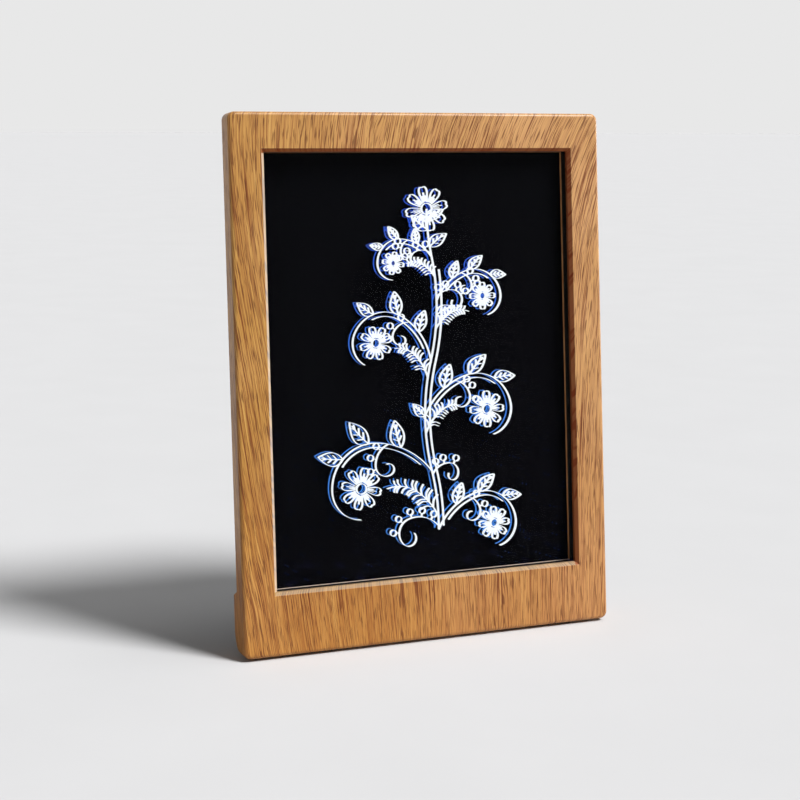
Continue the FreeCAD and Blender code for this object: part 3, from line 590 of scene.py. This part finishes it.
class Drawing:
    def __init__(self, line):
        self.line = line
        self.strokes = []

    def stroke(self, points, start, end, loop=False):
        last = max(len(points) - 1, 1)
        widths = [start + (end - start) * index / last for index in range(len(points))]
        self.strokes.append((points, widths, loop))

    def fine(self, points, shares):
        self.stroke(points, self.line * shares[0], self.line * shares[1])

    def ring(self, centre, radius, width, count):
        turns = [2 * pi * index / count for index in range(count)]
        spots = [(centre[0] + radius * cos(a), centre[1] + radius * sin(a)) for a in turns]
        self.stroke(spots, width, width, loop=True)

    def leaf(self, at, heading, length):
        form = leafForm

        def spot(t, side):
            # t runs from the leaf's foot to its tip, and side from one edge, -1, to the other, 1
            wide = length * form["fat"] * sin(pi * t) ** form["blunt"] * (1 - form["narrow"] * t) * side
            wide += form["bow"] * length * t * t
            return (at[0] + sin(heading) * length * t + cos(heading) * wide,
                    at[1] + cos(heading) * length * t - sin(heading) * wide)

        steps, ribSteps = form["sideSteps"], form["ribSteps"]
        for side in (-1, 1):
            self.fine([spot(index / steps, side) for index in range(steps + 1)], (1, 1))
        rib = [spot(index / ribSteps * form["rib"], 0) for index in range(ribSteps + 1)]
        self.fine(rib, form["ribWidth"])
        for vein in form["veins"]:
            for side in (-1, 1):
                inner, outer = spot(vein, 0), spot(vein + form["veinRise"], side * form["veinReach"])
                middle = ((inner[0] + outer[0]) / 2, (inner[1] + outer[1]) / 2)
                self.fine([inner, middle, outer], form["veinWidth"])

    def flower(self, at, radius, petals, turn):
        form = flowerForm
        core, steps = radius * form["core"], form["steps"]
        foot, veinFoot = core * form["petalFoot"], core * form["veinFoot"]
        self.ring(at, core, self.line, steps)

        def spoke(angle, reach):
            return at[0] + reach * cos(angle), at[1] + reach * sin(angle)

        def petalSpot(middle, t):
            # t runs up one side of the petal, over its notched tip and down the other side
            off = 2 * t - 1
            angle = middle + pi / petals * form["petalWidth"] * off * (1 - form["waist"] * abs(off) ** 3)
            notch = 1 - form["notch"] * exp(-((t - 0.5) / form["notchWidth"]) ** 2)
            return spoke(angle, foot + (radius - foot) * sin(pi * t) ** form["round"] * notch)

        for petal in range(petals):
            middle = turn + 2 * pi * petal / petals
            self.fine([petalSpot(middle, index / steps) for index in range(steps + 1)], (1, 1))
            for offset, share in form["veins"]:
                angle, tip = middle + pi / petals * offset, radius * share
                vein = [spoke(angle, reach) for reach in (veinFoot, (veinFoot + tip) / 2, tip)]
                self.fine(vein, form["veinWidth"])

    def fern(self, at, heading, length, side):
        form = fernForm
        arcs = [(share * length, side * turn) for share, turn in form["arcs"]]
        path, headings, centre = follow(at, heading, arcs)
        self.fine(path, form["width"])
        places = form["pairs"] + 3
        for pair in range(2, form["pairs"] + 2):
            index = int(len(path) * pair / places)
            barb = length * form["barb"] * (1 - form["taper"] * pair / places) + form["shortest"]
            x, z = path[index]
            for out in (-1, 1):
                far = headings[index] + out * form["spread"]
                near = far - out * form["bend"]
                tip = (x + sin(far) * barb, z + cos(far) * barb)
                knee = (x + sin(near) * barb * form["knee"], z + cos(near) * barb * form["knee"])
                self.fine([path[index], knee, tip], form["barbWidth"])

    def curl(self, at, heading, size, side, berries):
        form = curlForm
        arcs = [(share * size, side * turn) for share, turn in form["arcs"]]
        path, headings, centre = follow(at, heading, arcs)
        self.fine(path, form["width"])
        for berry in range(berries):
            index = int(len(path) * (berry + form["first"]) / (berries + form["spare"]))
            x, z = path[index]
            out = headings[index] - side * pi / 2
            stalkEnd = (x + sin(out) * form["stalk"], z + cos(out) * form["stalk"])
            self.fine([path[index], stalkEnd], form["stalkWidth"])
            spot = (x + sin(out) * form["berryPlace"], z + cos(out) * form["berryPlace"])
            self.ring(spot, form["berry"], self.line * form["berryWidth"], form["berrySteps"])


def follow(start, heading, arcs):
    # points and headings along arcs that run on from each other, and the centre of the last turn
    x, z = start
    path, headings = [(x, z)], [heading]
    for radius, turn in arcs:
        side = 1 if turn > 0 else -1
        centre = (x + side * radius * cos(heading), z - side * radius * sin(heading))
        steps = max(3, round(abs(radius * radians(turn)) / 1.6))
        for step in range(steps):
            heading += radians(turn) / steps
            x = centre[0] - side * radius * cos(heading)
            z = centre[1] + side * radius * sin(heading)
            path.append((x, z))
            headings.append(heading)
    return path, headings, centre


def beside(path, headings, gap):
    # the same path, shifted sideways
    return [(x + cos(turn) * gap, z - sin(turn) * gap) for (x, z), turn in zip(path, headings)]


def drawEngraving():
    size = engraving
    drawing = Drawing(size["line"])
    stem, turns = [size["start"]], [radians(size["heading"])]
    for stemTurn, scroll in zip(size["stemTurns"], size["scrolls"]):
        side, reach = (1 if scroll > 0 else -1), abs(scroll)
        arcs = [(share * reach, side * turn) for share, turn in size["scrollArcs"]]
        path, headings, centre = follow(stem[-1], turns[-1] + side * radians(size["scrollLean"]), arcs)
        drawing.stroke(path, *size["scroll"])
        inner = beside(path, headings, side * size["scrollGap"])
        inner = inner[size["scrollSkip"]:int(len(inner) * size["scrollShare"])]
        drawing.stroke(inner, *size["scrollLine"])
        drawing.flower(centre, reach * size["flower"], size["petals"], turns[-1])
        for share, grow in size["leaves"]:
            index = int(len(path) * share)
            drawing.leaf(path[index], headings[index] - side * size["leafLean"], reach * grow)
        curl = size["scrollCurl"]
        index = int(len(path) * curl["place"])
        heading = headings[index] + side * curl["lean"]
        drawing.curl(path[index], heading, reach * curl["size"], side, curl["berries"])
        path, headings, centre = follow(stem[-1], turns[-1], ((size["stemRadius"], stemTurn),))
        stem += path[1:]
        turns += headings[1:]
    drawing.stroke(stem, *size["stem"])
    first, last = size["stemSkip"]
    drawing.stroke(beside(stem, turns, size["stemGap"])[first:-last], *size["stemLine"])
    drawing.flower(stem[-1], size["topFlower"], size["petals"], size["topTurn"])
    for share, side, length in size["topLeaves"]:
        index = int(len(stem) * share)
        drawing.leaf(stem[index], turns[index] + side * size["topLeafLean"], length)
    for share, side, length in size["ferns"]:
        index = int(len(stem) * share)
        drawing.fern(stem[index], turns[index] + side * size["fernLean"], length, side)
    for share, side, reach, berries in size["curls"]:
        index = int(len(stem) * share)
        drawing.curl(stem[index], turns[index] + side * size["curlLean"], reach, side, berries)
    return drawing.strokes


def strokeTree():
    # sweeps a flat bar along every stroke, as wide as the stroke's own radius says
    inputs = {"Relief": ("NodeSocketFloat", 0.3), "Widen": ("NodeSocketFloat", 2.0),
              "Smoothness": ("NodeSocketInt", 4), "Finish": ("NodeSocketMaterial", None)}
    graph, source = newTree("engravedStrokes", inputs)
    curved = graph.node("GeometryNodeCurveSplineType", {"spline_type": "CATMULL_ROM"},
                        {0: source.outputs["Geometry"]})
    fine = graph.node("GeometryNodeSetSplineResolution", None,
                      {"Geometry": curved.outputs[0], "Resolution": source.outputs["Smoothness"]})
    bar = graph.node("GeometryNodeCurvePrimitiveQuadrilateral", None,
                     {"Width": source.outputs["Relief"], "Height": source.outputs["Widen"]})
    swept = graph.node("GeometryNodeCurveToMesh", None,
                       {"Curve": fine.outputs[0], "Profile Curve": bar.outputs[0], "Fill Caps": True})
    return closeTree(graph, swept.outputs[0], source.outputs["Finish"])


def engrave(name, strokes, depth, finish, share=1.0):
    # share is how much of each stroke's width is drawn
    curve = bpy.data.curves.new(name, "CURVE")
    curve.dimensions = "3D"
    curve.twist_mode = "Z_UP"
    for points, widths, loop in strokes:
        spline = curve.splines.new("POLY")
        spline.points.add(len(points) - 1)
        for target, (x, z), width in zip(spline.points, points, widths):
            target.co = (x, z, 0, 1)
            target.radius = width / 2
        spline.use_cyclic_u = loop
    holder = bpy.data.objects.new(name + "Strokes", curve)
    bpy.context.scene.collection.objects.link(holder)
    values = {"Relief": engraving["relief"], "Widen": 2 * share, "Smoothness": engraving["smooth"],
              "Finish": finishes[finish]}
    mesh = grown(holder, strokeTree(), values, name)
    mesh.transform(facingFront(depth))
    return newPiece(name, mesh, finish, smooth=False)


strokes = drawEngraving()
engravedPiece = engrave("engraved_strokes", strokes, engraving["depth"], "engraved_light")
# painted reflection of the strokes, glowing on the black sheet behind the panel
engrave("engraving_echo", strokes, engraving["echoDepth"], "engraved_echo", engraving["echoWidth"])
print("engraving drawn:", len(strokes), "strokes,", len(engravedPiece.data.polygons), "faces each")


screwHead = {"radius": 2.3, "height": 1.5, "dome": 0.55, "bevel": 0.1, "edge": 0.15, "sides": 40,
             "cross": 1.35, "slotWidth": 0.42, "deep": 0.8, "crossFoot": 0.55, "slotFoot": 0.6,
             "shank": 1.1, "length": 5.8, "tipRadius": 0.55, "tip": 0.8,
             "x": 83.6, "levels": (20.0, 231.2), "seat": 9.0, "seed": 3}


def latheFaces(profile, count):
    # profile of (radius, height) from the bottom centre to the top centre, turned about Z
    points, faces, rings = [], [], []
    for radius, height in profile:
        if radius == 0:
            rings.append([len(points)])
            points.append((0, 0, height))
        else:
            rings.append(list(range(len(points), len(points) + count)))
            points += [(radius * cos(2 * pi * i / count), radius * sin(2 * pi * i / count), height)
                       for i in range(count)]
    for lower, upper in zip(rings, rings[1:]):
        for i in range(count):
            j = (i + 1) % count
            if len(lower) == 1:
                faces.append((lower[0], upper[j], upper[i]))
            elif len(upper) == 1:
                faces.append((lower[i], lower[j], upper[0]))
            else:
                faces.append((lower[i], lower[j], upper[j], upper[i]))
    return points, faces


def makeScrewMesh():
    size = screwHead
    radius, height, shank, foot = size["radius"], size["height"], size["shank"], -size["length"]
    dome = [(radius * cos(a), height - size["dome"] + size["dome"] * sin(a))
            for a in [pi / 2 * i / 8 for i in range(8)]]
    profile = [(0, foot), (size["tipRadius"], foot), (shank, foot + size["tip"]), (shank, 0),
               (radius - size["bevel"], 0), (radius, size["edge"])] + dome + [(0, height)]
    points, faces = latheFaces(profile, size["sides"])
    head = bpy.data.objects.new("screwBlank", meshFrom("screwBlank", points, faces))
    bpy.context.scene.collection.objects.link(head)
    # cross recess, tapering downwards
    bm = bmesh.new()
    reach, wide, top = size["cross"], size["slotWidth"], height + 0.1
    reachLow, wideLow, low = reach * size["crossFoot"], wide * size["slotFoot"], height - size["deep"]
    for turn in (0, pi / 2):
        spin = Matrix.Rotation(turn, 3, "Z")
        ends = [(-reach, -wide, top), (reach, -wide, top), (reach, wide, top), (-reach, wide, top),
                (-reachLow, -wideLow, low), (reachLow, -wideLow, low),
                (reachLow, wideLow, low), (-reachLow, wideLow, low)]
        verts = [bm.verts.new(spin @ Vector(end)) for end in ends]
        for face in ((0, 3, 2, 1), (4, 5, 6, 7), (0, 1, 5, 4), (1, 2, 6, 5), (2, 3, 7, 6), (3, 0, 4, 7)):
            bm.faces.new([verts[index] for index in face])
        bmesh.ops.recalc_face_normals(bm, faces=bm.faces)
    cutterMesh = bpy.data.meshes.new("crossCutter")
    bm.to_mesh(cutterMesh)
    bm.free()
    cutter = bpy.data.objects.new("crossCutter", cutterMesh)
    bpy.context.scene.collection.objects.link(cutter)
    carve = head.modifiers.new("cross", "BOOLEAN")
    carve.object = cutter
    carve.operation = "DIFFERENCE"
    carve.solver = "EXACT"
    carve.use_self = True
    bpy.context.view_layer.update()
    graph = bpy.context.evaluated_depsgraph_get()
    mesh = bpy.data.meshes.new_from_object(head.evaluated_get(graph), depsgraph=graph)
    bpy.data.objects.remove(cutter)
    bpy.data.objects.remove(head)
    return mesh


def screwTree():
    inputs = {"Screw": ("NodeSocketObject", None), "Seed": ("NodeSocketInt", 1),
              "Finish": ("NodeSocketMaterial", None)}
    graph, source = newTree("coverScrews", inputs)
    one = graph.node("GeometryNodeObjectInfo", None, {"Object": source.outputs["Screw"]})
    turn = graph.node("FunctionNodeRandomValue", {"data_type": "FLOAT"},
                      {2: 0.0, 3: pi / 2, "Seed": source.outputs["Seed"]})
    spin = graph.node("ShaderNodeCombineXYZ", None, {2: turn.outputs[1]})
    placed = graph.node("GeometryNodeInstanceOnPoints", None,
                        {"Points": source.outputs["Geometry"], "Instance": one.outputs["Geometry"],
                         "Rotation": spin.outputs[0]})
    return closeTree(graph, placed.outputs[0], source.outputs["Finish"])


def makeCoverScrews():
    size = screwHead
    screw = bpy.data.objects.new("screwPattern", makeScrewMesh())
    bpy.context.scene.collection.objects.link(screw)
    # spots are drawn looking at the back: x across, y up, and z out of the back
    spots = [(side * size["x"], level, 0) for side in (-1, 1) for level in size["levels"]]
    holder = bpy.data.objects.new("screwSpots", meshFrom("screwSpots", spots, []))
    bpy.context.scene.collection.objects.link(holder)
    values = {"Screw": screw, "Seed": size["seed"], "Finish": finishes["steel"]}
    mesh = grown(holder, screwTree(), values, "cover_screw_heads")
    bpy.data.objects.remove(screw)
    # (x, y, z) of the drawing becomes (x, depth, height) with z pointing to the back
    turn = Matrix(((1, 0, 0, 0), (0, 0, 1, 0), (0, 1, 0, 0), (0, 0, 0, 1)))
    mesh.transform(toWorld @ Matrix.Translation((0, size["seat"], 0)) @ turn)
    mesh.flip_normals()
    piece = newPiece("cover_screw_heads", mesh, "steel")
    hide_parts("cover_screws")


makeCoverScrews()
print("cover screws placed")

buttonCap = {"x": 53.0, "z": 18.6, "front": 12.3, "flange": 4.0, "flangeEnd": 13.5, "radius": 3.2,
             "top": 16.2, "rim": 0.45, "dish": 0.35, "dishRadius": 2.55, "sides": 64,
             "dishSteps": (1, 0.85, 0.7, 0.5, 0.3, 0.12)}


def makeButtonCap():
    # turned profile: flange, straight side, rounded rim and a shallow dish for the finger
    size = buttonCap
    radius, flange, bend = size["radius"], size["flange"], size["rim"]
    tall = size["top"] - size["front"]
    step = size["flangeEnd"] - size["front"]
    rim = [(radius - bend + bend * cos(a), tall - bend + bend * sin(a))
           for a in [pi / 2 * i / 6 for i in range(7)]]
    dish = [(size["dishRadius"] * t, tall - size["dish"] * (1 - t * t)) for t in size["dishSteps"]]
    profile = [(0, 0), (flange, 0), (flange, step), (radius, step)] + rim + dish
    profile.append((0, tall - size["dish"]))
    points, faces = latheFaces(profile, size["sides"])
    mesh = meshFrom("button_cap", points, faces)
    # the turned axis points to the back
    turn = Matrix(((1, 0, 0, 0), (0, 0, 1, 0), (0, -1, 0, 0), (0, 0, 0, 1)))
    mesh.transform(toWorld @ Matrix.Translation((size["x"], size["front"], size["z"])) @ turn)
    piece = newPiece("button_cap", mesh, "chip_black", body="button")
    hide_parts("power_button")


makeButtonCap()

# half is half the thickness of the inlet's tongue
socketPins = {"x": 32.5, "z": 15.6, "start": 10.2, "length": 2.9, "width": 0.26, "thick": 0.05,
              "pitch": 0.5, "count": 12, "half": 0.35}


def pinTree():
    inputs = {"Count": ("NodeSocketInt", 12), "Pitch": ("NodeSocketFloat", 0.5),
              "Width": ("NodeSocketFloat", 0.3), "Length": ("NodeSocketFloat", 3.0),
              "Thick": ("NodeSocketFloat", 0.1), "Finish": ("NodeSocketMaterial", None)}
    graph, source = newTree("socketPins", inputs)
    gap = graph.node("ShaderNodeCombineXYZ", None, {0: source.outputs["Pitch"]})
    row = graph.node("GeometryNodeMeshLine", None,
                     {"Count": source.outputs["Count"], "Offset": gap.outputs[0]})
    size = graph.node("ShaderNodeCombineXYZ", None,
                      {0: source.outputs["Width"], 1: source.outputs["Length"], 2: source.outputs["Thick"]})
    strip = graph.node("GeometryNodeMeshCube", None, {"Size": size.outputs[0]})
    # one row on the upper and one on the lower face of the tongue, at the holder's two points
    line = graph.node("GeometryNodeInstanceOnPoints", None,
                      {"Points": row.outputs[0], "Instance": strip.outputs[0]})
    both = graph.node("GeometryNodeInstanceOnPoints", None,
                      {"Points": source.outputs["Geometry"], "Instance": line.outputs[0]})
    return closeTree(graph, both.outputs[0], source.outputs["Finish"])


def makeSocketPins():
    size = socketPins
    left = size["x"] - size["pitch"] * (size["count"] - 1) / 2
    middle = size["start"] + size["length"] / 2
    spots = [(left, middle, size["z"] + side * (size["half"] + size["thick"] / 2)) for side in (-1, 1)]
    holder = bpy.data.objects.new("pinRows", meshFrom("pinRows", spots, []))
    bpy.context.scene.collection.objects.link(holder)
    values = {"Count": size["count"], "Pitch": size["pitch"], "Width": size["width"],
              "Length": size["length"], "Thick": size["thick"], "Finish": finishes["contact_gold"]}
    mesh = grown(holder, pinTree(), values, "socket_pins")
    mesh.transform(toWorld)
    newPiece("socket_pins", mesh, "contact_gold", smooth=False)


makeSocketPins()
print("button cap and socket pins placed")

# soft suns, so that the floor is as bright far off as it is near, and a plain backdrop to match
studio = {"ambient": 0.13, "floor": (206, 206, 207), "mottle": 4, "mottleSize": 60.0, "reach": 9.0,
          "suns": {"keySun": ((0.45, -0.45, 0.77), 18.0, 4.1), "topSun": ((0.36, -0.09, 0.93), 22.0, 0.5),
                   "rimSun": ((0.95, 0.2, 0.08), 14.0, 0.9)}}


def makeStudio():
    reach, spot = studio["reach"], studio["mottleSize"]
    corners = [(-reach, -reach, 0), (reach, -reach, 0), (reach, reach, 0), (-reach, reach, 0)]
    mesh = meshFrom("paleFloor", corners, [(0, 1, 2, 3)])
    finish = Finish("pale_floor")
    x, y, z = finish.place()
    soft = finish.noise(finish.point(x / spot, y / spot, z / spot), 1.0, 3.0)
    darker = tuple(value - studio["mottle"] for value in studio["floor"])
    shade = finish.mixed(soft, tint(*studio["floor"]), tint(*darker))
    mesh.materials.append(finish.done(Base_Color=shade, Roughness=0.85 + soft * 0.1, Specular_IOR_Level=0.1))
    floor = bpy.data.objects.new("paleFloor", mesh)
    bpy.context.scene.collection.objects.link(floor)

    floorLight = studio["ambient"]
    for name, (place, wide, power) in studio["suns"].items():
        data = bpy.data.lights.new(name, "SUN")
        data.energy = power
        data.angle = radians(wide)
        lamp = bpy.data.objects.new(name, data)
        lamp.rotation_euler = (-Vector(place)).to_track_quat("-Z", "Y").to_euler()
        bpy.context.scene.collection.objects.link(lamp)
        floorLight += power * Vector(place).normalized().z / pi

    world = bpy.data.worlds.new("softStudio")
    bpy.context.scene.world = world
    world.use_nodes = True
    graph = Graph(world.node_tree)
    graph.tree.nodes.clear()
    path = graph.node("ShaderNodeLightPath")
    seen = Signal(graph, path.outputs["Is Camera Ray"])
    for ray in ("Is Glossy Ray", "Is Transmission Ray"):
        seen = seen + Signal(graph, path.outputs[ray])
    backdrop = floorLight * tint(*studio["floor"])[0]
    level = seen * (backdrop - studio["ambient"]) + studio["ambient"]
    shade = graph.node("ShaderNodeBackground", None, {"Color": (1, 1, 1, 1), "Strength": level})
    graph.node("ShaderNodeOutputWorld", None, {"Surface": shade.outputs[0]})


view = {"place": (-0.28483, -0.71321, 0.24864), "yaw": 21.6557, "pitch": -8.5185, "roll": 0.6764,
        "lens": 74.25, "shift": -0.075}


def makeCamera():
    data = bpy.data.cameras.new("photoView")
    data.sensor_fit = "HORIZONTAL"
    data.sensor_width = 36.0
    data.lens = view["lens"]
    data.shift_y = view["shift"]
    data.clip_start, data.clip_end = 0.01, 50.0
    camera = bpy.data.objects.new("photoView", data)
    camera.matrix_world = (
        Matrix.Translation(view["place"])
        @ Matrix.Rotation(-radians(view["yaw"]), 4, "Z")
        @ Matrix.Rotation(radians(90 + view["pitch"]), 4, "X")
        @ Matrix.Rotation(radians(view["roll"]), 4, "Z")
    )
    bpy.context.scene.collection.objects.link(camera)
    bpy.context.scene.camera = camera
    bpy.context.scene.view_settings.view_transform = "Standard"


makeStudio()
makeCamera()
print("light and camera set")
